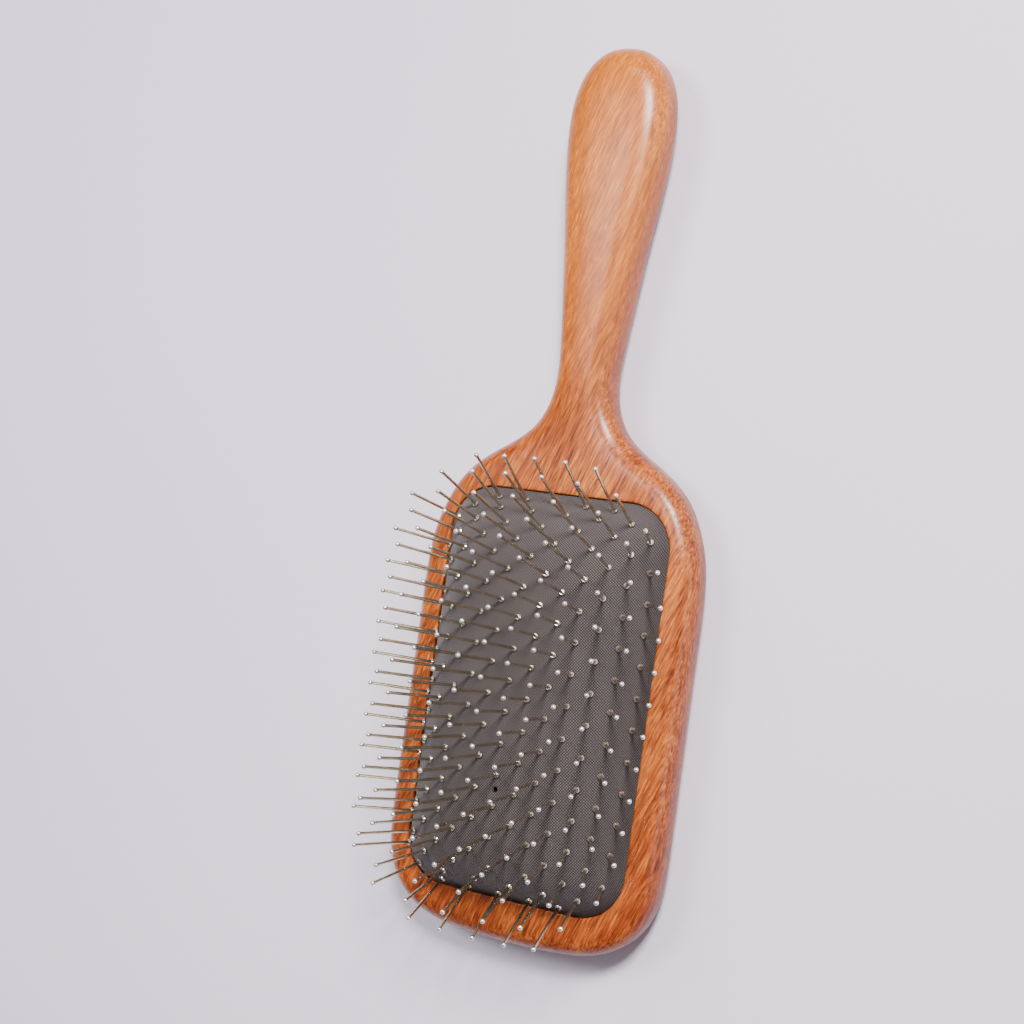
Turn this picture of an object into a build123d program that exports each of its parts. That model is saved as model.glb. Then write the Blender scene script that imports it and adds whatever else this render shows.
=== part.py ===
from build123d import *
import math
import os

# Paddle hairbrush with an air cushion, lying on its wooden back with the pins up.
# Millimetres. +Z is up out of the cushion, +Y runs towards the end of the handle,
# x = 0 is the plane of symmetry, and the origin is under the middle of the body
# on the plane of its flat back.

# ---------------------------------------------------------------- dimensions
total_length = 250.0
paddle_thick = 14.0  # flat back to the front face of the paddle
front_round = 5.6  # round-over along the front edge of the wood
back_round = 6.2  # round-over along the back edge

recess_half_w = 33.8  # opening in the front face
recess_len = 112.3
recess_y0 = -112.6  # lower edge of the opening
recess_corner = 13.0
recess_depth = 8.5
groove_top = 3.2  # undercut that holds the rubber's flange, below the face
groove_high = 1.8
groove_deep = 1.5

dome_rise = 16.6  # crown of the cushion above its rim
rim_drop = 1.2  # rim of the cushion below the front face
side_gap = 0.15  # cushion to recess wall
fabric_t = 0.4
bond_gap = 0.08
rubber_t = 1.2

wire_r = 0.43
pin_out = 18.0  # fabric to the centre of the ball tip
ball_r = 0.66
collar_r = 0.86
collar_h = 0.55
collar_lift = 0.55
head_r = 1.15
head_t = 0.4
head_down = 2.9  # fabric to the underside of the head
pin_hole_r = 0.78
vent_r = 0.8
vent_y = -81.3

# right half of the body's outline, from the lower end to the tip of the handle
outline = [
    (0.0, -125.0), (8.5, -124.85), (17.0, -124.25), (24.6, -123.0), (30.6, -120.6),
    (35.6, -116.8), (39.3, -111.6), (41.4, -105.2), (42.2, -98.0), (42.35, -88.0),
    (42.3, -72.0), (42.2, -52.0), (42.2, -36.0), (42.0, -22.0), (41.3, -15.4),
    (40.1, -10.3), (38.2, -5.2), (35.4, 0.2), (31.2, 5.2), (25.2, 9.8), (18.6, 14.0),
    (13.4, 18.6), (10.2, 24.0), (8.7, 29.5), (8.25, 35.0), (8.6, 41.0), (9.3, 48.0),
    (10.3, 57.0), (11.7, 69.0), (13.3, 81.0), (14.6, 92.0), (15.15, 101.0),
    (14.9, 108.0), (13.6, 114.2), (11.2, 119.2), (7.6, 122.9), (3.8, 124.6), (0.0, 125.0),
]
# crown that stands up along the handle's front: y, half width, middle z, half height
handle_rows = [
    (17.0, 5.0, 9.0, 3.4), (24.0, 6.0, 9.0, 5.2), (35.0, 6.9, 9.0, 6.3), (50.0, 8.0, 9.0, 6.9),
    (69.0, 10.2, 9.0, 7.5), (88.0, 12.4, 9.0, 8.1), (101.0, 13.1, 9.0, 8.3), (110.0, 12.5, 9.0, 7.8),
    (116.5, 10.4, 9.0, 6.6), (120.5, 8.0, 9.0, 4.6),
]

# pin rows: y of each half row above the recess's lower edge, from row -12 to row 14
row_y = [
    2.9, 6.2, 10.4, 14.6, 19.0, 23.0, 27.1, 31.2, 35.4, 39.7, 43.8, 48.0, 52.4, 56.6,
    60.8, 65.1, 69.3, 73.5, 77.7, 81.7, 85.9, 90.1, 94.2, 98.3, 102.3, 106.2, 109.1,
]
col_x = [0.0, 5.94, 11.6, 17.05, 22.3, 27.0, 31.2]
col_lean = [0.0, 5.0, 10.0, 15.5, 24.0, 33.0, 38.5]  # degrees outward at mid length

# hand-set unevenness of the pins' lean, in degrees: weights of u**i * v**j for i + j <= 4,
# then of v**8 towards the handle and towards the far end
lean_x_fix = [
    2.85, -5.07, -6.67, -1.58, 1.89, -3.61, 0.56, 1.07, -3.31, -5.92, 8.92, 5.1, 3.16, 7.87,
    -1.43, 4.06, 0.3,
]
lean_y_fix = [
    2.46, 5.19, 0.04, 0.36, 3.01, 2.43, -2.2, -0.42, 2.22, -0.45, -9.33, -0.0, -4.58, -3.36,
    0.5, 2.32, 0.24,
]
half_len = recess_len / 2
mid_y = recess_y0 + half_len


# ---------------------------------------------------------------- cushion form
def inside(x, y, r=recess_corner):
    """Distance in from the recess outline, negative outside it."""
    qx = abs(x) - (recess_half_w - r)
    qy = abs(y - mid_y) - (half_len - r)
    out = math.hypot(max(qx, 0), max(qy, 0)) + min(max(qx, qy), 0)
    return r - out


def crown(x, y):
    """The cushion's fabric surface, 0 at the rim and 1 at the crown."""
    u = abs(x) / recess_half_w
    v = (y - mid_y) / half_len
    fx = 1 - u**4
    fy = 1 - v**5 if v > 0 else (1 - abs(v) ** 9 if abs(v) < 1 else 0.0)
    e = inside(x, y) / 5
    fade = 1 - (1 - e) ** 3 if 0 <= e < 1 else (1.0 if e >= 1 else 3 * e)
    return fx * fy * fade


def dome_z(x, y):
    return paddle_thick - rim_drop + dome_rise * crown(x, y)


def pins():
    """(column, row, base point, direction) of every pin."""
    found = []
    for c in range(-6, 7):
        for r in range(-12, 15):
            if (r - c) % 2 or (abs(c) == 6 and not -10 <= r <= 12):
                continue
            y = recess_y0 + row_y[r + 12]
            v = (y - mid_y) / half_len
            pull = 1 - 0.05 * v * v - (0.37 if v > 0 else 0.30) * abs(v) ** 14
            x = math.copysign(col_x[abs(c)], c) * pull if c else 0.0
            fx = 1 - (abs(x) / recess_half_w) ** 4
            fy = 1 - v**5 if v > 0 else 1 - abs(v) ** 9
            lean_x = math.copysign(col_lean[abs(c)], c) * fy**1.6
            if v > 0:
                lean_y = 6 * v + 30 * v**6
            else:
                lean_y = 4 * v - 46 * abs(v) ** 7
            lean_y *= fx**0.5
            u = x / recess_half_w
            terms = [u**i * v**j for i in range(5) for j in range(5) if i + j <= 4]
            terms += [max(v, 0) ** 8, max(-v, 0) ** 8]
            lean_x += sum(k * t for k, t in zip(lean_x_fix, terms))
            lean_y += sum(k * t for k, t in zip(lean_y_fix, terms))
            d = Vector(math.tan(math.radians(lean_x)), math.tan(math.radians(lean_y)), 1)
            found.append((c, r, Vector(x, y, dome_z(x, y)), d.normalized()))
    return found


def zone(c, r):
    end = "top" if r >= 11 else "bottom" if r <= -10 else ""
    side = "right" if c >= 4 else "left" if c <= -4 else ""
    return "_".join(w for w in (end, side) if w) or "centre"


def surface(drop):
    """The cushion surface lowered by drop, wider than the recess all round."""
    xs = [recess_half_w * 1.02 * s / 10 for s in range(-10, 11)]
    ys = [mid_y + half_len * 1.015 * s / 18 for s in range(-18, 19)]
    rows = [[Vector(x, y, dome_z(x, y) - drop) for y in ys] for x in xs]
    return Face.make_surface_from_array_of_points(rows, tol=0.04, min_deg=3, max_deg=5)


def recess_sketch(grow):
    return (2 * (recess_half_w + grow), recess_len + 2 * grow, recess_corner + grow)


os.makedirs("parts", exist_ok=True)
all_pins = pins()
print("pins", len(all_pins))

# ---------------------------------------------------------------- wood body
edge = Spline(*outline, tangents=[(1, 0), (-1, 0)])
half = []
for k in range(41):
    t = k / 40
    p, d = edge @ t, edge % t
    half.append((p.X, p.Y, -d.Y, d.X))
half[0] = (0.0, -125.0, 0.0, 1.0)
half[-1] = (0.0, 125.0, 0.0, -1.0)


def ring(inset):
    """The outline moved in by inset, as one closed run of points."""
    side = [(x + nx * inset, y + ny * inset) for x, y, nx, ny in half]
    return side + [(-x, y) for x, y in side[-2:0:-1]]


levels = []
for k in range(7):
    f = math.radians(90 - 15 * k)
    levels.append((back_round * (1 - math.sin(f)), back_round * (1 - math.cos(f))))
for k in range(7):
    f = math.radians(15 * k)
    levels.append((
        paddle_thick - front_round * (1 - math.sin(f)),
        front_round * (1 - math.cos(f)),
    ))

with BuildPart() as wood_body:
    # rounded slab: the outline drawn in at the back and front edges
    for z, inset in levels:
        with BuildSketch(Plane.XY.offset(z)):
            with BuildLine():
                Spline(*ring(inset), periodic=True)
            make_face()
    loft()
    # crowned handle, an oval that swells towards its end and sinks into the slab
    with BuildPart(mode=Mode.PRIVATE) as handle:
        for y, a, mid, h in handle_rows:
            with BuildSketch(Plane((0, y, mid), x_dir=(1, 0, 0), z_dir=(0, 1, 0))):
                with BuildLine():
                    pts = []
                    for k in range(24):
                        t = 2 * math.pi * k / 24
                        cs, sn = math.cos(t), math.sin(t)
                        pts.append((
                            math.copysign(abs(cs) ** 0.86 * a, cs),
                            math.copysign(abs(sn) ** 0.86 * h, sn),
                        ))
                    Spline(*pts, periodic=True)
                make_face()
        loft()
    add(handle.part)
    # recess for the cushion, and the undercut that holds its flange
    with BuildSketch(Plane.XY.offset(paddle_thick - recess_depth)):
        w, l, r = recess_sketch(0)
        with Locations((0, mid_y)):
            RectangleRounded(w, l, r)
    extrude(amount=recess_depth + 8, mode=Mode.SUBTRACT)
    with BuildSketch(Plane.XY.offset(paddle_thick - groove_top - groove_high)):
        w, l, r = recess_sketch(groove_deep)
        with Locations((0, mid_y)):
            RectangleRounded(w, l, r)
    extrude(amount=groove_high, mode=Mode.SUBTRACT)
wood_body.part.label = "wood_body"
export_step(wood_body.part, "parts/wood_body.step")
bb = wood_body.part.bounding_box()
print("wood", bb.min, bb.max, wood_body.part.volume, len(wood_body.part.solids()))

# ---------------------------------------------------------------- cushion
face_top = paddle_thick
top_skin = surface(0)
under_cloth = surface(fabric_t)
rubber_top = surface(fabric_t + bond_gap)
rubber_in = surface(fabric_t + bond_gap + rubber_t)


def block(gap, low, high):
    """A plug of the recess's outline, gap inside it, from low to high."""
    w, l, r = recess_sketch(-gap)
    with BuildPart() as plug:
        with BuildSketch(Plane.XY.offset(low)):
            with Locations((0, mid_y)):
                RectangleRounded(w, l, r)
        extrude(amount=high - low)
    return plug.part


def below(solid, skin):
    """The piece of a plug that lies under a skin."""
    cut = solid.split(skin, keep=Keep.ALL)
    return sorted(cut.solids(), key=lambda s: s.bounding_box().max.Z)[0]


hole_spots = []
for c, r, base, d in all_pins:
    hole_spots.append(Plane(base, z_dir=d).location)

cloth_hull = below(block(side_gap, face_top - 2.4, face_top + 20), top_skin)
cloth_core = below(block(side_gap - 0.05, face_top - 6, face_top + 20), under_cloth)
with BuildPart() as cushion_fabric:
    add(cloth_hull)
    add(cloth_core, mode=Mode.SUBTRACT)
    with Locations(*hole_spots):
        Cylinder(pin_hole_r, 5, mode=Mode.SUBTRACT)
    with Locations((0, vent_y, face_top + dome_rise)):
        Cylinder(vent_r, 12, mode=Mode.SUBTRACT)
cushion_fabric.part.label = "cushion_fabric"
export_step(cushion_fabric.part, "parts/cushion_fabric.step")
print("fabric", cushion_fabric.part.volume, len(cushion_fabric.part.solids()))

flange_low = face_top - groove_top - groove_high + 0.1
flange_high = face_top - groove_top - 0.1
rubber_hull = below(block(side_gap, flange_low, face_top + 20), rubber_top)
rubber_core = below(block(side_gap + 1.3, face_top - 12, face_top + 20), rubber_in)
with BuildPart() as cushion_rubber:
    add(rubber_hull)
    # flange that snaps into the undercut
    with BuildSketch(Plane.XY.offset(flange_low)):
        w, l, r = recess_sketch(groove_deep - 0.15)
        with Locations((0, mid_y)):
            RectangleRounded(w, l, r)
    extrude(amount=flange_high - flange_low)
    add(rubber_core, mode=Mode.SUBTRACT)
    with Locations(*hole_spots):
        Cylinder(pin_hole_r, 7, mode=Mode.SUBTRACT)
    with Locations((0, vent_y, face_top + dome_rise)):
        Cylinder(vent_r, 12, mode=Mode.SUBTRACT)
cushion_rubber.part.label = "cushion_rubber"
export_step(cushion_rubber.part, "parts/cushion_rubber.step")
print("rubber", cushion_rubber.part.volume, len(cushion_rubber.part.solids()))

# ---------------------------------------------------------------- pins
# One pin, standing on the cloth at z = 0: wire with an upset head under the
# rubber, a stop collar just over the cloth, and a ball on the free end.
with BuildPart() as wire:
    with Locations((0, 0, -head_down)):
        Cylinder(head_r, head_t, align=(Align.CENTER, Align.CENTER, Align.MAX))
    with Locations((0, 0, -head_down - head_t / 2)):
        Cylinder(
            wire_r, head_down + head_t / 2 + pin_out,
            align=(Align.CENTER, Align.CENTER, Align.MIN),
        )

with BuildPart() as collar:
    with BuildSketch(Plane.XZ):
        with BuildLine():
            Polyline(
                (wire_r + 0.01, collar_lift), (collar_r - 0.12, collar_lift),
                (collar_r, collar_lift + 0.12), (collar_r, collar_lift + 0.3),
                (collar_r - 0.2, collar_lift + collar_h), (wire_r + 0.01, collar_lift + collar_h),
                close=True,
            )
        make_face()
    revolve(axis=Axis.Z)

with BuildPart() as ball:
    with BuildSketch(Plane.XZ):
        with BuildLine():
            a0 = math.acos((wire_r + 0.01) / ball_r)
            low = -ball_r * math.sin(a0)
            Polyline(
                (0, 0.01), (wire_r + 0.01, 0.01), (wire_r + 0.01, low)
            )
            ThreePointArc((wire_r + 0.01, low), (ball_r, 0), (0, ball_r))
            Line((0, ball_r), (0, 0.01))
        make_face()
    revolve(axis=Axis.Z)

groups = {}
for c, r, base, d in all_pins:
    groups.setdefault(zone(c, r), []).append((base, d))
for name, spots in groups.items():
    stand = [Plane(b, z_dir=d).location for b, d in spots]
    tip = [Plane(b + d * pin_out, z_dir=d).location for b, d in spots]
    for kind, shape, places in (
        ("pins", wire.part, stand), ("collars", collar.part, stand), ("ball_tips", ball.part, tip)
    ):
        label = name + "_" + kind
        group = Compound(children=[shape.solid().moved(p) for p in places])
        group.label = label
        export_step(group, "parts/" + label + ".step")
    print(name, len(spots))
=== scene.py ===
import math

import bpy
import numpy as np
from mathutils import Matrix, Vector
from mathutils.geometry import delaunay_2d_cdt


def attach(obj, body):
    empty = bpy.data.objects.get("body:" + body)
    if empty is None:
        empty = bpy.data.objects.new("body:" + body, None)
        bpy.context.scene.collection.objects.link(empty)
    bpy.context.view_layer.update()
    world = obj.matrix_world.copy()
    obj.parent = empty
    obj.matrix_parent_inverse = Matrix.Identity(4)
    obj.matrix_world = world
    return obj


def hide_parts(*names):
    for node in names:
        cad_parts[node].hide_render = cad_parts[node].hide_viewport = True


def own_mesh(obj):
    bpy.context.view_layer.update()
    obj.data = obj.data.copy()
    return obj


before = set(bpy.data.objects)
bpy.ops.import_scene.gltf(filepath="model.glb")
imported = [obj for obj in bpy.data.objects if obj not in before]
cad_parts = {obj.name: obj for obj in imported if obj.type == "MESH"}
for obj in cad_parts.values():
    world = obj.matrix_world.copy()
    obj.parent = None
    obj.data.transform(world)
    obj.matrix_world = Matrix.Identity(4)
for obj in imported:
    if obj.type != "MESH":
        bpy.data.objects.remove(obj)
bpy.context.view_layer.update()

MM = 0.001
rng = np.random.default_rng(11)

# ---------------------------------------------------------------- the brush's dimensions, in mm
paddle_thick = 14.0
front_round = 5.6
back_round = 6.2
recess_half_w = 33.8
recess_len = 112.3
recess_y0 = -112.6
recess_corner = 13.0
dome_rise = 16.6
rim_drop = 1.2
pin_out = 18.0
vent_r = 0.8
vent_y = -81.3
half_len = recess_len / 2
mid_y = recess_y0 + half_len
outline = [
    (0, -125), (8.5, -124.85), (17, -124.25), (24.6, -123), (30.6, -120.6), (35.6, -116.8),
    (39.3, -111.6), (41.4, -105.2), (42.2, -98), (42.35, -88), (42.3, -72), (42.2, -52),
    (42.2, -36), (42, -22), (41.3, -15.4), (40.1, -10.3), (38.2, -5.2), (35.4, 0.2),
    (31.2, 5.2), (25.2, 9.8), (18.6, 14), (13.4, 18.6), (10.2, 24), (8.7, 29.5), (8.25, 35),
    (8.6, 41), (9.3, 48), (10.3, 57), (11.7, 69), (13.3, 81), (14.6, 92), (15.15, 101),
    (14.9, 108), (13.6, 114.2), (11.2, 119.2), (7.6, 122.9), (3.8, 124.6), (0, 125),
]
row_y = [
    2.9, 6.2, 10.4, 14.6, 19.0, 23.0, 27.1, 31.2, 35.4, 39.7, 43.8, 48.0, 52.4, 56.6, 60.8,
    65.1, 69.3, 73.5, 77.7, 81.7, 85.9, 90.1, 94.2, 98.3, 102.3, 106.2, 109.1,
]
col_x = [0.0, 5.94, 11.6, 17.05, 22.3, 27.0, 31.2]
col_lean = [0, 5, 10, 15.5, 24, 33, 38.5]


# ---------------------------------------------------------------- shape helpers
def smooth(t):
    t = np.clip(t, 0.0, 1.0)
    return t * t * (3 - 2 * t)


def cubic_curve(points, t0, t1, samples):
    """An interpolating cubic through points with end directions t0 and t1, evenly sampled by length. Returns points and unit directions."""
    P = np.array(points, float)
    h = np.linalg.norm(np.diff(P, axis=0), axis=1)
    n = len(P)
    A = np.zeros((n, n))
    B = np.zeros((n, 2))
    A[0, 0] = A[-1, -1] = 1
    B[0], B[-1] = t0, t1
    for i in range(1, n - 1):
        A[i, i - 1] = h[i]
        A[i, i] = 2 * (h[i - 1] + h[i])
        A[i, i + 1] = h[i - 1]
        B[i] = 3 * (h[i] * (P[i] - P[i - 1]) / h[i - 1] + h[i - 1] * (P[i + 1] - P[i]) / h[i])
    M = np.linalg.solve(A, B)

    def at(i, s):
        s = s[:, None]
        a = 2 * s**3 - 3 * s**2 + 1
        b = s**3 - 2 * s**2 + s
        c = -2 * s**3 + 3 * s**2
        d = s**3 - s**2
        p = a * P[i] + b * h[i, None] * M[i] + c * P[i + 1] + d * h[i, None] * M[i + 1]
        da = 6 * s**2 - 6 * s
        db = 3 * s**2 - 4 * s + 1
        dd = 3 * s**2 - 2 * s
        v = da * P[i] + db * h[i, None] * M[i] - da * P[i + 1] + dd * h[i, None] * M[i + 1]
        return p, v

    k = 60
    idx = np.repeat(np.arange(n - 1), k)
    s = np.tile(np.arange(k) / k, n - 1)
    p, _ = at(idx, s)
    p = np.vstack([p, P[-1]])
    length = np.concatenate([[0], np.cumsum(np.linalg.norm(np.diff(p, axis=0), axis=1))])
    want = np.linspace(0, length[-1], samples)
    where = np.clip(np.interp(want, length, np.arange(len(length))), 0, (n - 1) * k - 1e-6)
    i = (where // k).astype(int)
    s = where / k - i
    p, v = at(i, s)
    return p, v / np.linalg.norm(v, axis=1)[:, None]


side, side_dir = cubic_curve(outline, (1, 0), (-1, 0), 381)
side[0], side[-1] = (0, -125), (0, 125)
side_out = np.stack([side_dir[:, 1], -side_dir[:, 0]], axis=1)
side_out[0], side_out[-1] = (0, -1), (0, 1)
edge = np.vstack([side, (side * [-1, 1])[-2:0:-1]])
edge_out = np.vstack([side_out, (side_out * [-1, 1])[-2:0:-1]])
EDGE_N = len(edge)


def edge_distance(pts):
    """Distance in from the outline, negative outside."""
    out = np.empty(len(pts))
    a = edge
    b = np.roll(edge, -1, axis=0)
    ab = b - a
    ll = (ab**2).sum(1)
    for s in range(0, len(pts), 1500):
        p = pts[s:s + 1500, None, :]
        t = np.clip(((p - a) * ab).sum(2) / ll, 0, 1)
        q = a + t[..., None] * ab
        d = np.sqrt(((p - q) ** 2).sum(2))
        j = d.argmin(1)
        k = np.arange(len(j))
        v = (pts[s:s + 1500] - q[k, j])
        sign = np.where(ab[j, 0] * v[:, 1] - ab[j, 1] * v[:, 0] > 0, 1, -1)
        out[s:s + 1500] = d[k, j] * sign
    return out


def recess_distance(x, y, r=recess_corner):
    """Distance in from the recess edge, negative outside."""
    qx = np.abs(x) - (recess_half_w - r)
    qy = np.abs(y - mid_y) - (half_len - r)
    return r - (np.hypot(np.maximum(qx, 0), np.maximum(qy, 0)) + np.minimum(np.maximum(qx, qy), 0))


def rounded_rect(grow, n):
    """n points of the recess outline, moved out by grow, evenly spaced."""
    w, l, r = recess_half_w + grow, half_len + grow, recess_corner + grow
    a, b = w - r, l - r
    quarter = math.pi / 2 * r
    total = 4 * a + 4 * b + 4 * quarter
    pts = []
    for k in range(n):
        s = (k / n) * total
        parts = [
            (b, lambda t: (w, t)), (quarter, lambda t: (a + r * math.cos(t / r), b + r * math.sin(t / r))),
            (2 * a, lambda t: (a - t, l)), (quarter, lambda t: (-a - r * math.sin(t / r), b + r * math.cos(t / r))),
            (2 * b, lambda t: (-w, b - t)), (quarter, lambda t: (-a - r * math.cos(t / r), -b - r * math.sin(t / r))),
            (2 * a, lambda t: (-a + t, -l)), (quarter, lambda t: (a + r * math.sin(t / r), -b - r * math.cos(t / r))),
            (b, lambda t: (w, -b + t)),
        ]
        for length, f in parts:
            if s <= length + 1e-9:
                pts.append(f(s))
                break
            s -= length
    p = np.array(pts)
    p[:, 1] += mid_y
    return p


def make_mesh(name, verts, faces, smooth_shade=True):
    """A mesh object from points in mm."""
    me = bpy.data.meshes.new(name)
    me.from_pydata([tuple(v) for v in np.asarray(verts) * MM], [], [tuple(int(i) for i in f) for f in faces])
    me.validate(clean_customdata=False)
    me.update()
    ob = bpy.data.objects.new(name, me)
    bpy.context.scene.collection.objects.link(ob)
    if smooth_shade:
        me.polygons.foreach_set("use_smooth", [True] * len(me.polygons))
    return ob


# ---------------------------------------------------------------- wooden body
def handle_half(y):
    """Half width of the handle at y, held at its widest towards the rounded end."""
    yy = side[190:, 1]
    xx = side[190:, 0]
    order = np.argsort(yy)
    w = np.interp(np.minimum(y, 101.0), yy[order], xx[order])
    return np.maximum(w, 8.2)


def front_z(x, y, d):
    flat = paddle_thick - front_round + np.sqrt(np.maximum(front_round**2 - (front_round - np.minimum(d, front_round)) ** 2, 0))
    top = np.interp(y, [0, 20, 35, 50, 69, 88, 101, 112, 125], [14.2, 14.6, 15.3, 15.9, 16.6, 17.2, 17.4, 17.3, 17.0])
    hw = handle_half(y)
    q = np.clip(d / hw, 0, 1)
    p = 3.1
    crown = 7.3 + (top - 7.3) * (1 - (1 - q) ** p) ** (1 / p)
    w = smooth((y - 3.0) / 30.0)
    return flat * (1 - w) + crown * w


def back_z(x, y, d):
    flat = back_round - np.sqrt(np.maximum(back_round**2 - (back_round - np.minimum(d, back_round)) ** 2, 0))
    hw = handle_half(y)
    q = np.clip(d / hw, 0, 1)
    p = 2.5
    crown = 7.3 - 7.3 * (1 - (1 - q) ** p) ** (1 / p)
    w = smooth((y - 3.0) / 30.0)
    return flat * (1 - w) + crown * w


def ring_insets(r, n):
    return [r * (1 - math.cos(math.pi / 2 * k / n)) for k in range(n + 1)]


def fill(rings, inner_rings, hole, grid, skip):
    """Triangles over the rings and a grid of points inside them. Returns points and triangles."""
    pts, cons = [], []
    for r in rings + inner_rings:
        base = len(pts)
        pts.extend(map(tuple, r))
    def loop(base, n):
        return [(base + i, base + (i + 1) % n) for i in range(n)]
    cons += loop(0, len(rings[0]))
    if inner_rings:
        base = sum(len(r) for r in rings)
        cons += loop(base, len(inner_rings[0]))
    g = []
    k = 0
    y = -125.0
    while y < 125.0:
        x0 = grid / 2 * (k % 2)
        row = np.arange(-44, 44, grid) + x0
        g.append(np.stack([row, np.full_like(row, y)], axis=1))
        y += grid * 0.866
        k += 1
    g = np.vstack(g)
    keep = edge_distance(g) > skip
    if hole:
        keep &= recess_distance(g[:, 0], g[:, 1]) < -hole
    g = g[keep]
    pts.extend(map(tuple, g))
    out = delaunay_2d_cdt([Vector(p) for p in pts], cons, [], 0, 1e-5, True)
    v = np.array([(p.x, p.y) for p in out[0]])
    tri = np.array([f for f in out[2] if len(f) == 3])
    c = v[tri].mean(1)
    ok = edge_distance(c) > 1e-4
    if inner_rings:
        ok &= recess_distance(c[:, 0], c[:, 1]) < 1e-4
    return v, tri[ok], out[3]


def wooden_body():
    fi = ring_insets(front_round, 11)
    bi = ring_insets(back_round, 9)
    front_rings = [edge - edge_out * i for i in fi]
    back_rings = [edge - edge_out * i for i in bi]
    rr = 0.4
    hole_n = 520
    lips = [(rr * (1 - math.sin(a)), rr * (1 - math.cos(a))) for a in (math.pi / 2, math.pi / 3, math.pi / 6, 0.0)]
    lips = [(g, dz) for g, dz in lips]          # outermost last: (0, rr) first, then out to (rr, 0)
    hole_rings = [rounded_rect(g, hole_n) for g, dz in lips] + [rounded_rect(0.9, hole_n)]
    v, tri, orig = fill(front_rings, hole_rings, 1.6, 1.25, 6.3)
    d = edge_distance(v)
    r = recess_distance(v[:, 0], v[:, 1])
    z = front_z(v[:, 0], v[:, 1], np.maximum(d, 0))
    # lip of the recess
    out = np.clip(-r, 0, rr)
    z = np.where(r > -rr, z - (rr - np.sqrt(np.maximum(rr**2 - (rr - out) ** 2, 0))), z)
    verts = [np.column_stack([v, z])]
    faces = [tuple(t) for t in tri]
    count = len(v)
    # recess wall and floor
    find = {}
    for i, (x, y) in enumerate(v):
        find[(round(x, 3), round(y, 3))] = i
    top = [find[(round(x, 3), round(y, 3))] for x, y in hole_rings[0]]
    prev = top
    for z0, g in ((13.0, 0.0), (12.0, 0.0), (9.5, 0.0), (7.0, 0.0), (5.9, -0.15), (5.5, -0.7)):
        ring = rounded_rect(g, hole_n)
        verts.append(np.column_stack([ring, np.full(hole_n, z0)]))
        cur = list(range(count, count + hole_n))
        count += hole_n
        for i in range(hole_n):
            j = (i + 1) % hole_n
            faces.append((prev[i], prev[j], cur[j], cur[i]))
        prev = cur
    faces.append(tuple(prev))
    # back
    vb, tb, _ = fill(back_rings, [], 0, 2.4, 7.4)
    db = edge_distance(vb)
    zb = back_z(vb[:, 0], vb[:, 1], np.maximum(db, 0))
    base = count
    verts.append(np.column_stack([vb, zb]))
    faces += [tuple(int(i) + base for i in t[::-1]) for t in tb]
    count += len(vb)
    # side band
    ft = [find[(round(x, 3), round(y, 3))] for x, y in front_rings[0]]
    fb = {}
    for i, (x, y) in enumerate(vb):
        fb[(round(x, 3), round(y, 3))] = i + base
    bt = [fb[(round(x, 3), round(y, 3))] for x, y in back_rings[0]]
    V = np.vstack(verts)
    lower = bt
    for s in (0.5, 1.0):
        if s == 1.0:
            cur = ft
        else:
            mid = V[bt] * (1 - s) + V[ft] * s
            cur = list(range(count, count + EDGE_N))
            V = np.vstack([V, mid])
            count += EDGE_N
        for i in range(EDGE_N):
            j = (i + 1) % EDGE_N
            faces.append((lower[i], lower[j], cur[j], cur[i]))
        lower = cur
    ob = make_mesh("wooden_paddle_and_handle", V, faces)
    import bmesh
    bm = bmesh.new()
    bm.from_mesh(ob.data)
    bmesh.ops.recalc_face_normals(bm, faces=bm.faces)
    bmesh.ops.remove_doubles(bm, verts=bm.verts, dist=1e-6)
    bm.to_mesh(ob.data)
    bm.free()
    ob.data.polygons.foreach_set("use_smooth", [True] * len(ob.data.polygons))
    return ob


# ---------------------------------------------------------------- cushion
def crown(x, y):
    u = np.abs(x) / recess_half_w
    v = (y - mid_y) / half_len
    fx = 1 - np.minimum(u, 1.0) ** 4
    fy = np.where(v > 0, 1 - np.clip(v, 0, 1) ** 5, 1 - np.clip(np.abs(v), 0, 1) ** 9)
    e = recess_distance(x, y) / 5
    fade = np.where(e < 0, 3 * e, np.where(e < 1, 1 - (1 - np.clip(e, 0, 1)) ** 3, 1.0))
    return fx * fy * fade


def dome_z(x, y):
    return paddle_thick - rim_drop + dome_rise * crown(x, y)


def pin_list():
    out = []
    for c in range(-6, 7):
        for r in range(-12, 15):
            if (r - c) % 2 or (abs(c) == 6 and not -10 <= r <= 12):
                continue
            y = recess_y0 + row_y[r + 12]
            v = (y - mid_y) / half_len
            pull = 1 - 0.05 * v * v - (0.37 if v > 0 else 0.30) * abs(v) ** 14
            x = math.copysign(col_x[abs(c)] * pull, c) if c else 0.0
            out.append((c, r, x, y, float(dome_z(np.array([x]), np.array([y]))[0])))
    return out


PINS = pin_list()
STAR = (17.5, -100.5)
CREASES = [
    (-24, -40, -10, -58, 0.13, 0.8), (-27, -60, -14, -82, 0.12, 0.9), (-20, -22, 2, -36, 0.10, 0.9),
    (2, -30, 20, -16, -0.10, 1.0), (-6, -52, 12, -66, 0.09, 1.0), (-28, -88, -12, -98, 0.12, 0.9),
    (6, -84, 24, -76, 0.08, 1.1), (-8, -14, 14, -8, 0.10, 0.9), (20, -40, 29, -60, 0.09, 0.9),
    (-14, -66, 2, -90, 0.08, 1.1), (10, -46, 26, -34, -0.09, 1.0), (22, -72, 29, -94, 0.08, 0.9),
]


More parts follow.
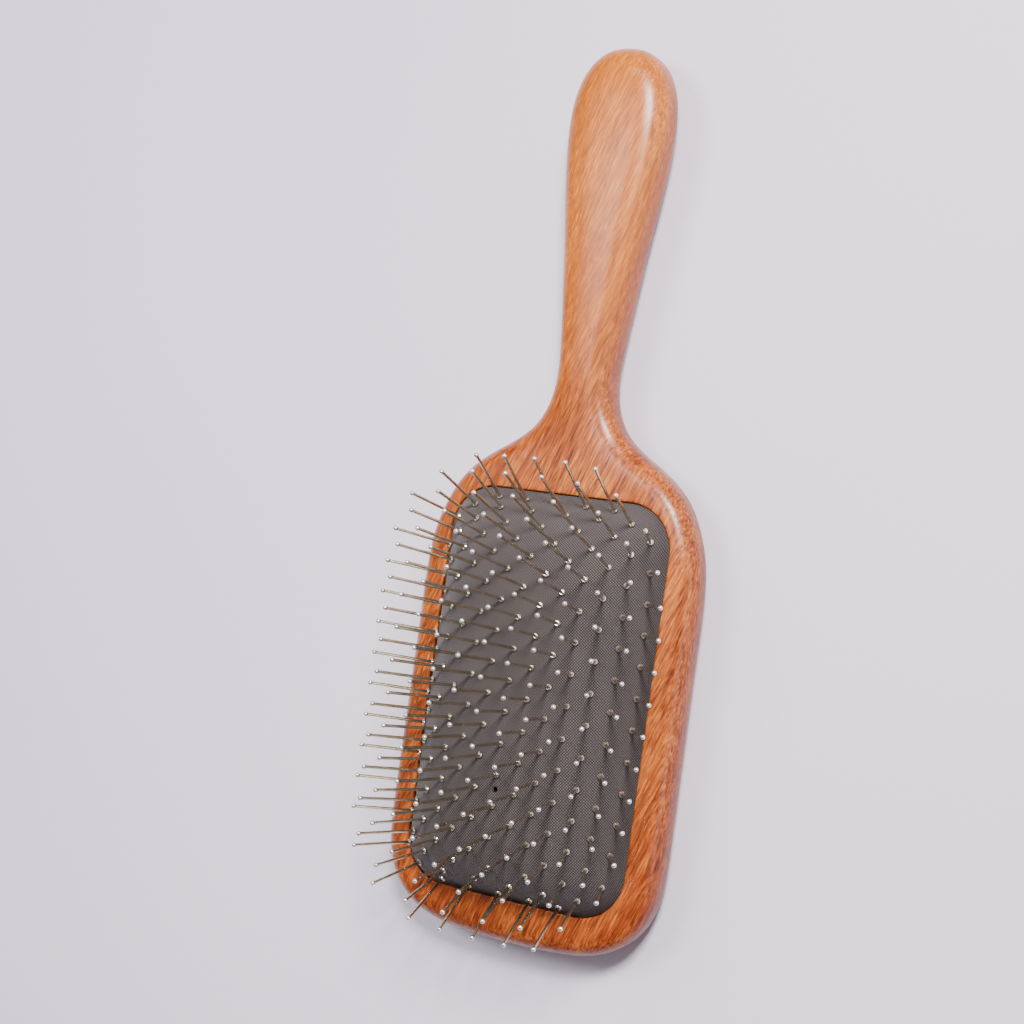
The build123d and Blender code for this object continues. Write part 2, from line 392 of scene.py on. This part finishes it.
def cloth_relief(x, y):
    """Small hills and hollows of the stretched cloth, in mm."""
    z = np.zeros_like(x)
    dip = np.random.default_rng(5).uniform(0.04, 0.17, len(PINS))
    # each pin holds the cloth down a little, some more than others
    for (c, r, px, py, pz), a in zip(PINS, dip):
        d2 = (x - px) ** 2 + (y - py) ** 2
        z -= a * np.exp(-d2 / (2 * 1.1**2))
    # drawn in at the edge in small tucks
    e = np.maximum(recess_distance(x, y), 0)
    ang = np.arctan2((y - mid_y) / half_len, x / recess_half_w)
    t = 0
    for k, (n, a, p) in enumerate(((23, 0.5, 0.7), (37, 0.34, 2.1), (61, 0.2, 4.0), (11, 0.35, 1.2))):
        t = t + a * np.sin(n * ang + p + 0.6 * np.sin(3 * ang + p))
    z += 0.16 * t * np.exp(-e / 4.5) * smooth(e / 1.2)
    # slow unevenness and slack creases that cross the cloth aslant
    z += 0.06 * np.sin(x * 0.31 + 0.8 * np.sin(y * 0.11)) * np.cos(y * 0.23 + 0.5)
    for ax, ay, bx, by, h, w in CREASES:
        vx, vy = bx - ax, by - ay
        ll = vx * vx + vy * vy
        q = np.clip(((x - ax) * vx + (y - ay) * vy) / ll, 0, 1)
        wob = 0.5 * np.sin(q * 9 + ax)
        dist = np.hypot(x - ax - q * vx + wob * vy / math.sqrt(ll), y - ay - q * vy - wob * vx / math.sqrt(ll))
        z += h * np.exp(-(dist / w) ** 2) * np.sin(np.pi * np.clip(q, 0.02, 0.98)) ** 0.6
    # a small star-shaped pucker low on the cloth
    px, py = STAR
    dd = np.hypot(x - px, y - py)
    aa = np.arctan2(y - py, x - px)
    z += 0.10 * np.exp(-dd / 2.6) * np.cos(7 * aa + 0.4) * smooth(dd / 0.8) + 0.10 * np.exp(-(dd / 0.8) ** 2)
    return z


def arc_maps():
    """How far along the cloth each place is, across and along, for the weave's coordinates."""
    xs = np.linspace(-36, 36, 289)
    ys = np.linspace(mid_y - 58, mid_y + 58, 465)
    X, Y = np.meshgrid(xs, ys, indexing="ij")
    Z = dome_z(X, Y)
    dx = np.hypot(np.diff(Z, axis=0), xs[1] - xs[0])
    dy = np.hypot(np.diff(Z, axis=1), ys[1] - ys[0])
    U = np.zeros_like(Z)
    V = np.zeros_like(Z)
    U[1:] = np.cumsum(dx, axis=0)
    V[:, 1:] = np.cumsum(dy, axis=1)
    U -= U[len(xs) // 2]
    V -= V[:, len(ys) // 2][:, None]
    return xs, ys, U, V


def sample(xs, ys, F, x, y):
    i = np.clip((x - xs[0]) / (xs[1] - xs[0]), 0, len(xs) - 1.001)
    j = np.clip((y - ys[0]) / (ys[1] - ys[0]), 0, len(ys) - 1.001)
    i0, j0 = i.astype(int), j.astype(int)
    a, b = i - i0, j - j0
    return (F[i0, j0] * (1 - a) * (1 - b) + F[i0 + 1, j0] * a * (1 - b) + F[i0, j0 + 1] * (1 - a) * b + F[i0 + 1, j0 + 1] * a * b)


def dome_mesh(name, lift, grid, relief, wall, n_edge, inset):
    """A skin over the dome, tucked down along the recess wall."""
    rings = [rounded_rect(-inset - g, n_edge) for g in (0.0, 0.12, 0.3, 0.55, 0.9, 1.35)]
    pts = [tuple(p) for r in rings for p in r]
    cons = [(i, (i + 1) % n_edge) for i in range(n_edge)]
    vent = [(vent_r * math.cos(2 * math.pi * k / 20), vent_y + vent_r * math.sin(2 * math.pi * k / 20)) for k in range(20)]
    vent2 = [(1.35 * math.cos(2 * math.pi * k / 20), vent_y + 1.35 * math.sin(2 * math.pi * k / 20)) for k in range(20)]
    vb = len(pts)
    pts += vent + vent2
    cons += [(vb + i, vb + (i + 1) % 20) for i in range(20)]
    g = []
    y, k = mid_y - half_len, 0
    while y < mid_y + half_len:
        row = np.arange(-recess_half_w, recess_half_w, grid) + grid / 2 * (k % 2)
        g.append(np.stack([row, np.full_like(row, y)], axis=1))
        y += grid * 0.866
        k += 1
    g = np.vstack(g)
    keep = recess_distance(g[:, 0], g[:, 1]) > inset + 1.35 + grid * 0.6
    keep &= np.hypot(g[:, 0], g[:, 1] - vent_y) > 1.35 + grid * 0.5
    pts += [tuple(p) for p in g[keep]]
    out = delaunay_2d_cdt([Vector(p) for p in pts], cons, [], 0, 1e-5, True)
    v = np.array([(p.x, p.y) for p in out[0]])
    tri = np.array([f for f in out[2] if len(f) == 3])
    c = v[tri].mean(1)
    ok = (recess_distance(c[:, 0], c[:, 1]) > inset - 1e-4) & (np.hypot(c[:, 0], c[:, 1] - vent_y) > vent_r * 0.97)
    tri = tri[ok]
    z = dome_z(v[:, 0], v[:, 1]) + lift
    if relief:
        z = z + cloth_relief(v[:, 0], v[:, 1])
    z = z - 0.25 * np.exp(-(np.hypot(v[:, 0], v[:, 1] - vent_y) / 1.1) ** 2)
    find = {(round(x, 3), round(y, 3)): i for i, (x, y) in enumerate(v)}
    verts = [np.column_stack([v, z])]
    faces = [tuple(t) for t in tri]
    count = len(v)
    first = [find[(round(x, 3), round(y, 3))] for x, y in rings[0]]
    prev = first
    for dz in wall:
        ring = rounded_rect(-inset, n_edge)
        zz = np.minimum(z[first] - 0.1, dz) if dz else z[first]
        verts.append(np.column_stack([ring, np.full(n_edge, dz)]))
        cur = list(range(count, count + n_edge))
        count += n_edge
        faces += [(prev[i], prev[(i + 1) % n_edge], cur[(i + 1) % n_edge], cur[i]) for i in range(n_edge)]
        prev = cur
    first = [find[(round(x, 3), round(y, 3))] for x, y in vent]
    prev = first
    for k, dz in enumerate((0.5, 1.2)):
        ring = np.array(vent)
        verts.append(np.column_stack([ring, z[first] - dz]))
        cur = list(range(count, count + 20))
        count += 20
        faces += [(prev[i], prev[(i + 1) % 20], cur[(i + 1) % 20], cur[i]) for i in range(20)]
        prev = cur
    V = np.vstack(verts)
    ob = make_mesh(name, V, faces)
    import bmesh
    bm = bmesh.new()
    bm.from_mesh(ob.data)
    bmesh.ops.recalc_face_normals(bm, faces=bm.faces)
    # the open skin's upper side faces out
    up = sum(f.normal.z for f in bm.faces)
    if up < 0:
        bmesh.ops.reverse_faces(bm, faces=bm.faces)
    bm.to_mesh(ob.data)
    bm.free()
    ob.data.polygons.foreach_set("use_smooth", [True] * len(ob.data.polygons))
    # cloth coordinates in mm along the skin
    xs, ys, U, W = arc_maps()
    co = np.array([p.co for p in ob.data.vertices]) / MM
    uu = sample(xs, ys, U, co[:, 0], co[:, 1])
    ww = sample(xs, ys, W, co[:, 0], co[:, 1])
    low = co[:, 2] < 12.75
    uu = uu + np.where(low, (12.75 - co[:, 2]) * np.sign(co[:, 0]), 0)
    uv = ob.data.uv_layers.new(name="cloth")
    li = np.zeros(len(ob.data.loops), int)
    ob.data.loops.foreach_get("vertex_index", li)
    flat = np.stack([uu[li], ww[li]], axis=1).astype(np.float32).ravel() * 0.01
    uv.data.foreach_set("uv", flat)
    return ob


# ---------------------------------------------------------------- materials
def srgb(r, g, b):
    f = lambda c: c / 12.92 if c <= 0.04045 else ((c + 0.055) / 1.055) ** 2.4
    return (f(r / 255), f(g / 255), f(b / 255), 1.0)


class Nodes:
    def __init__(self, name):
        self.m = bpy.data.materials.new(name)
        self.m.use_nodes = True
        self.t = self.m.node_tree
        self.b = self.t.nodes["Principled BSDF"]

    def add(self, kind, **kw):
        n = self.t.nodes.new(kind)
        for k, v in kw.items():
            if k.startswith("in_"):
                n.inputs[k[3:].replace("_", " ")].default_value = v
            else:
                setattr(n, k, v)
        return n

    def link(self, a, b):
        self.t.links.new(a, b)

    def math(self, op, a, b=None, clamp=False):
        n = self.t.nodes.new("ShaderNodeMath")
        n.operation = op
        n.use_clamp = clamp
        for i, x in enumerate((a, b)):
            if x is None:
                continue
            if isinstance(x, (int, float)):
                n.inputs[i].default_value = x
            else:
                self.t.links.new(x, n.inputs[i])
        return n.outputs[0]

    def ramp(self, fac, stops):
        n = self.t.nodes.new("ShaderNodeValToRGB")
        e = n.color_ramp.elements
        while len(e) > len(stops):
            e.remove(e[-1])
        while len(e) < len(stops):
            e.new(0.5)
        for el, (pos, col) in zip(e, stops):
            el.position = pos
            el.color = col if len(col) == 4 else (*col, 1)
        self.link(fac, n.inputs[0])
        return n.outputs[0]

    def mix(self, fac, a, b, blend="MIX"):
        n = self.t.nodes.new("ShaderNodeMix")
        n.data_type = "RGBA"
        n.blend_type = blend
        ins = {"f": n.inputs[0], "a": n.inputs[6], "b": n.inputs[7]}
        for k, x in (("f", fac), ("a", a), ("b", b)):
            if isinstance(x, (int, float)):
                ins[k].default_value = x
            elif isinstance(x, tuple):
                ins[k].default_value = x
            else:
                self.link(x, ins[k])
        return n.outputs[2]

    def noise(self, vec, scale, detail=4.0, rough=0.55, distort=0.0):
        n = self.t.nodes.new("ShaderNodeTexNoise")
        n.inputs["Scale"].default_value = scale
        n.inputs["Detail"].default_value = detail
        n.inputs["Roughness"].default_value = rough
        n.inputs["Distortion"].default_value = distort
        self.link(vec, n.inputs["Vector"])
        return n.outputs[0]

    def mapped(self, vec, scale=(1, 1, 1), rot=(0, 0, 0), loc=(0, 0, 0)):
        n = self.t.nodes.new("ShaderNodeMapping")
        n.inputs["Scale"].default_value = scale
        n.inputs["Rotation"].default_value = rot
        n.inputs["Location"].default_value = loc
        self.link(vec, n.inputs["Vector"])
        return n.outputs[0]

    def bump(self, height, strength, distance, normal=None):
        n = self.t.nodes.new("ShaderNodeBump")
        n.inputs["Strength"].default_value = strength
        n.inputs["Distance"].default_value = distance
        self.link(height, n.inputs["Height"])
        if normal is not None:
            self.link(normal, n.inputs["Normal"])
        return n.outputs[0]


def wood_material():
    n = Nodes("varnished_wood")
    obj = n.add("ShaderNodeTexCoord").outputs["Object"]
    # the grain runs aslant along the brush
    base = n.mapped(obj, rot=(0.05, 0.0, 0.36))
    warp = n.noise(n.mapped(base, scale=(38, 14, 38)), 1.0, 3, 0.55)
    warp2 = n.noise(n.mapped(base, scale=(38, 14, 38), loc=(7.3, 2.1, 4.4)), 1.0, 3, 0.55)
    comb = n.add("ShaderNodeCombineXYZ")
    n.link(n.math("MULTIPLY", n.math("SUBTRACT", warp, 0.5), 0.008), comb.inputs[0])
    n.link(n.math("MULTIPLY", n.math("SUBTRACT", warp2, 0.5), 0.008), comb.inputs[2])
    moved = n.add("ShaderNodeVectorMath", operation="ADD")
    n.link(base, moved.inputs[0])
    n.link(comb.outputs[0], moved.inputs[1])
    mv = moved.outputs[0]
    cloud = n.noise(n.mapped(base, scale=(42, 13, 42)), 1.0, 3, 0.5)
    broad = n.noise(n.mapped(mv, scale=(210, 12, 210)), 1.0, 4, 0.6, 0.2)
    fine = n.noise(n.mapped(mv, scale=(1550, 85, 1550)), 1.0, 3, 0.6, 0.1)
    hair = n.noise(n.mapped(mv, scale=(2600, 260, 2600)), 1.0, 2, 0.6)
    tone = n.math("ADD", n.math("MULTIPLY", broad, 0.26), n.math("ADD", n.math("MULTIPLY", fine, 0.50), n.math("MULTIPLY", hair, 0.24)))
    col = n.ramp(tone, [(0.37, srgb(84, 38, 12)), (0.455, srgb(142, 72, 24)), (0.53, srgb(178, 102, 38)), (0.62, srgb(212, 146, 70))])
    # towards the handle the wood is yellower, towards the far end redder; the far end is also painted darker, painted
    # shade standing in for the light falling off away from the handle
    sep = n.add("ShaderNodeSeparateXYZ")
    n.link(obj, sep.inputs[0])
    along = n.math("ADD", n.math("MULTIPLY", sep.outputs[1], 4.0), 0.5, clamp=True)
    tint = n.ramp(along, [(0.0, srgb(240, 186, 166)), (0.3, srgb(250, 218, 192)), (0.6, srgb(252, 226, 184)), (1.0, srgb(255, 238, 150))])
    col = n.mix(0.8, col, tint, "MULTIPLY")
    col = n.mix(0.7, col, n.ramp(cloud, [(0.34, srgb(214, 186, 172)), (0.62, srgb(255, 252, 248))]), "MULTIPLY")
    calm = n.math("MULTIPLY", n.math("SUBTRACT", sep.outputs[1], 0.012), 22.0, clamp=True)
    col = n.mix(n.math("MULTIPLY", calm, 0.26), col, srgb(224, 128, 40))
    # painted shade: everything below 12.5 mm, the sides and round-overs, is painted darker and redder to stand in for
    # the shade on the faces turned from the light
    low = n.math("MULTIPLY", sep.outputs[2], 80.0, clamp=True)
    col = n.mix(0.8, col, n.ramp(low, [(0.0, srgb(190, 152, 132)), (0.75, srgb(226, 204, 190)), (1.0, (1, 1, 1))]), "MULTIPLY")
    # open pores: short dark dashes along the grain
    pv = n.mapped(mv, scale=(1700, 150, 1700))
    vor = n.add("ShaderNodeTexVoronoi", feature="F1")
    vor.inputs["Scale"].default_value = 1.0
    vor.inputs["Randomness"].default_value = 1.0
    n.link(pv, vor.inputs["Vector"])
    dash = n.ramp(vor.outputs["Distance"], [(0.12, (1, 1, 1)), (0.32, (0, 0, 0))])
    patch = n.ramp(n.noise(n.mapped(mv, scale=(150, 26, 150)), 1.0, 2, 0.5), [(0.36, (0.15, 0.15, 0.15)), (0.58, (1, 1, 1))])
    pore = n.math("MULTIPLY", dash, patch)
    col = n.mix(n.math("MULTIPLY", pore, n.math("SUBTRACT", 0.66, n.math("MULTIPLY", calm, 0.38))), col, srgb(78, 32, 14))
    n.link(col, n.b.inputs["Base Color"])
    rough = n.math("ADD", 0.27, n.math("ADD", n.math("MULTIPLY", fine, 0.12), n.math("MULTIPLY", pore, 0.18)))
    n.link(rough, n.b.inputs["Roughness"])
    n.b.inputs["IOR"].default_value = 1.38
    n.b.inputs["Coat Weight"].default_value = 0.22
    n.b.inputs["Coat Roughness"].default_value = 0.24
    n.b.inputs["Coat IOR"].default_value = 1.45
    h = n.math("ADD", n.math("MULTIPLY", pore, -0.6), n.math("ADD", n.math("MULTIPLY", hair, 0.25), n.math("MULTIPLY", fine, 0.35)))
    n.link(n.bump(h, 0.35, 0.00018), n.b.inputs["Normal"])
    return n.m


def cloth_material():
    n = Nodes("woven_cloth")
    uv = n.add("ShaderNodeUVMap")
    uv.uv_map = "cloth"
    mm = n.mapped(uv.outputs[0], scale=(100, 100, 1))
    # threads run diagonally, 0.6 mm apart
    rot = n.add("ShaderNodeVectorRotate", rotation_type="Z_AXIS")
    rot.inputs["Angle"].default_value = math.radians(38)
    n.link(mm, rot.inputs["Vector"])
    wob = n.noise(mm, 0.55, 2, 0.5)
    wv = n.math("MULTIPLY", n.math("SUBTRACT", wob, 0.5), 0.5)
    sep = n.add("ShaderNodeSeparateXYZ")
    n.link(rot.outputs[0], sep.inputs[0])
    pitch = 0.55
    u = n.math("ADD", n.math("DIVIDE", sep.outputs[0], pitch), wv)
    v = n.math("ADD", n.math("DIVIDE", sep.outputs[1], pitch), wv)
    fu = n.math("ABSOLUTE", n.math("SINE", n.math("MULTIPLY", u, math.pi)))
    fv = n.math("ABSOLUTE", n.math("SINE", n.math("MULTIPLY", v, math.pi)))
    par = n.math("MODULO", n.math("ABSOLUTE", n.math("ADD", n.math("FLOOR", u), n.math("FLOOR", v))), 2.0)
    over = n.math("GREATER_THAN", par, 0.5)
    hu = n.math("MULTIPLY", n.math("POWER", fu, 0.6), n.math("ADD", 0.55, n.math("MULTIPLY", fv, 0.45)))
    hv = n.math("MULTIPLY", n.math("POWER", fv, 0.6), n.math("ADD", 0.55, n.math("MULTIPLY", fu, 0.45)))
    inv = n.math("SUBTRACT", 1.0, over)
    weave = n.math("ADD", n.math("MULTIPLY", hu, over), n.math("MULTIPLY", hv, inv))
    # fibres inside each thread
    fib = n.noise(n.mapped(mm, scale=(9, 9, 1), rot=(0, 0, 0.3)), 1.0, 3, 0.6)
    cloud = n.noise(mm, 0.06, 3, 0.5)
    # painted shade and painted light: the colour follows the thread height, near black in the low gaps between threads
    # and lighter on the thread crowns
    col = n.ramp(weave, [(0.14, srgb(3, 3, 3)), (0.5, srgb(44, 40, 42)), (0.92, srgb(100, 90, 90))])
    # painted sheen: the cells where over is set are painted a little darker than the others, lit and shaded copies of
    # the same thread
    dark = n.mix(over, col, srgb(214, 206, 206), "MULTIPLY")
    side = n.mix(0.30, col, dark)
    tinted = n.mix(0.5, side, n.ramp(cloud, [(0.35, srgb(214, 206, 208)), (0.65, srgb(255, 250, 250))]), "MULTIPLY")
    tinted = n.mix(0.35, tinted, n.ramp(fib, [(0.3, srgb(180, 176, 176)), (0.7, srgb(255, 255, 255))]), "MULTIPLY")
    n.link(tinted, n.b.inputs["Base Color"])
    n.b.inputs["Roughness"].default_value = 0.78
    n.b.inputs["Sheen Weight"].default_value = 0.15
    n.b.inputs["Sheen Roughness"].default_value = 0.45
    n.b.inputs["Specular IOR Level"].default_value = 0.35
    h = n.math("ADD", weave, n.math("MULTIPLY", fib, 0.12))
    n.link(n.bump(h, 0.75, 0.00016), n.b.inputs["Normal"])
    return n.m


def rubber_material():
    n = Nodes("black_rubber")
    obj = n.add("ShaderNodeTexCoord").outputs["Object"]
    g = n.noise(obj, 900, 4, 0.6)
    col = n.ramp(g, [(0.35, srgb(22, 21, 21)), (0.65, srgb(36, 34, 34))])
    n.link(col, n.b.inputs["Base Color"])
    n.link(n.math("ADD", 0.62, n.math("MULTIPLY", g, 0.2)), n.b.inputs["Roughness"])
    n.link(n.bump(g, 0.2, 0.0001), n.b.inputs["Normal"])
    return n.m


def metal_material(name, light, dark, rough, stretch, bumpy=True):
    n = Nodes(name)
    obj = n.add("ShaderNodeTexCoord").outputs["Object"]
    g = n.noise(n.mapped(obj, scale=stretch), 1.0, 3, 0.55)
    tarnish = n.noise(obj, 260, 3, 0.6)
    col = n.ramp(g, [(0.3, dark), (0.7, light)])
    col = n.mix(0.35, col, n.ramp(tarnish, [(0.4, srgb(205, 192, 172)), (0.6, srgb(255, 255, 255))]), "MULTIPLY")
    n.link(col, n.b.inputs["Base Color"])
    n.b.inputs["Metallic"].default_value = 1.0
    n.link(n.math("ADD", rough, n.math("MULTIPLY", g, 0.12)), n.b.inputs["Roughness"])
    if bumpy:
        n.link(n.bump(g, 0.03, 0.00003), n.b.inputs["Normal"])
    return n.m


WOOD = wood_material()
CLOTH = cloth_material()
RUBBER = rubber_material()
WIRE = metal_material("nickel_wire", srgb(238, 230, 208), srgb(206, 196, 168), 0.12, (700, 700, 60), False)
BALL = metal_material("polished_steel_ball", srgb(252, 251, 248), srgb(236, 233, 228), 0.24, (500, 500, 500))
COLLAR = metal_material("bright_collar", srgb(238, 232, 218), srgb(198, 190, 172), 0.13, (900, 900, 900))


def paint(ob, mat):
    if ob.data.materials:
        for i in range(len(ob.data.materials)):
            ob.data.materials[i] = mat
    else:
        ob.data.materials.append(mat)


# ---------------------------------------------------------------- pieces
wood = wooden_body()
paint(wood, WOOD)
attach(wood, "body")
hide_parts("wood_body")

cloth = dome_mesh("cushion_cloth_cover", 0.30, 0.62, True, (12.4, 11.6), 420, 0.12)
paint(cloth, CLOTH)
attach(cloth, "body")
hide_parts("cushion_fabric")
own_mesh(cloth)

rubber = dome_mesh("cushion_rubber_diaphragm", -0.55, 1.6, False, (11.8, 11.0), 260, 0.45)
paint(rubber, RUBBER)
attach(rubber, "body")
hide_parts("cushion_rubber")
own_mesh(rubber)

for name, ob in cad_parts.items():
    if name.endswith("_pins"):
        paint(ob, WIRE)
    elif name.endswith("_ball_tips"):
        paint(ob, BALL)
    elif name.endswith("_collars"):
        paint(ob, COLLAR)
    if name.endswith(("_pins", "_ball_tips", "_collars")):
        ob.data.polygons.foreach_set("use_smooth", [True] * len(ob.data.polygons))

# ---------------------------------------------------------------- floor, light, camera
def floor():
    me = bpy.data.meshes.new("floor")
    s = 3.0
    me.from_pydata([(-s, -s, 0), (s, -s, 0), (s, s, 0), (-s, s, 0)], [], [(0, 1, 2, 3)])
    ob = bpy.data.objects.new("floor", me)
    bpy.context.scene.collection.objects.link(ob)
    n = Nodes("pale_floor")
    obj = n.add("ShaderNodeTexCoord").outputs["Object"]
    g = n.noise(obj, 3.0, 2, 0.5)
    pale = n.ramp(g, [(0.3, srgb(230, 222, 237)), (0.7, srgb(236, 229, 243))])
    sep = n.add("ShaderNodeSeparateXYZ")
    n.link(obj, sep.inputs[0])
    # painted shade: the floor is painted a little darker towards +Y, a light falloff painted into its colour
    painted_floor_falloff = n.math("ADD", n.math("MULTIPLY", sep.outputs[1], 2.2), 0.5, clamp=True)
    n.link(n.mix(1.0, pale, n.ramp(painted_floor_falloff, [(0.1, (1, 1, 1)), (0.85, srgb(232, 230, 232))]), "MULTIPLY"), n.b.inputs["Base Color"])
    n.b.inputs["Roughness"].default_value = 0.85
    me.materials.append(n.m)
    return ob


floor()


def area(name, loc, target, size, power, color=(1, 1, 1), size_y=None):
    li = bpy.data.lights.new(name, "AREA")
    li.energy = power
    li.color = color
    li.shape = "RECTANGLE" if size_y else "SQUARE"
    li.size = size
    if size_y:
        li.size_y = size_y
    ob = bpy.data.objects.new(name, li)
    bpy.context.scene.collection.objects.link(ob)
    ob.location = loc
    d = Vector(target) - Vector(loc)
    ob.rotation_euler = d.to_track_quat("-Z", "Y").to_euler()
    return ob


area("key", (0.26, 0.36, 0.58), (0, -0.02, 0.01), 0.17, 11.5, (1.0, 0.985, 0.955))
soft = area("left_soft", (-0.40, 0.24, 0.72), (0, 0.02, 0.01), 0.30, 5.6, (0.99, 0.985, 1.0))
soft.visible_glossy = False
veil = area("veil", (-0.31, 0.19, 0.79), (0, 0.07, 0.017), 0.13, 1.4, (1.0, 0.93, 0.95))
veil.visible_diffuse = False
strip = area("strip", (0.84, 0.06, 0.36), (0.03, 0.0, 0.01), 0.9, 3.2, (1, 0.95, 0.96), 0.26)
strip.visible_diffuse = False
streak = area("streak", (-0.15, 0.20, 0.89), (0.0, 0.09, 0.016), 0.05, 2.1, (1.0, 0.95, 0.95), 0.34)
streak.visible_diffuse = False
out = (streak.location - Vector((0.0, 0.09, 0.016))).normalized()
across = Vector((0, 1, 0)).cross(out).normalized()
streak.rotation_euler = Matrix((across, out.cross(across), out)).transposed().to_euler()

world = bpy.data.worlds.new("studio")
bpy.context.scene.world = world
world.use_nodes = True
bg = world.node_tree.nodes["Background"]
bg.inputs[0].default_value = (0.84, 0.83, 0.90, 1)
bg.inputs[1].default_value = 0.36

cam = bpy.data.cameras.new("camera")
cam.sensor_width = 36.0
cam.sensor_fit = "HORIZONTAL"
cam.lens = 62.65
cam.clip_start = 0.01
cam.clip_end = 20
camera = bpy.data.objects.new("camera", cam)
bpy.context.scene.collection.objects.link(camera)
R = [
    (0.87102752, 0.13828854, -0.47136753),
    (0.11439819, -0.99027835, -0.07913184),
    (-0.47772808, 0.01500242, -0.87837965),
]
camera.matrix_world = Matrix((
    (R[0][0], -R[1][0], -R[2][0], 0.22237540),
    (R[0][1], -R[1][1], -R[2][1], -0.01445791),
    (R[0][2], -R[1][2], -R[2][2], 0.45042113),
    (0, 0, 0, 1),
))
bpy.context.scene.camera = camera
bpy.context.view_layer.update()
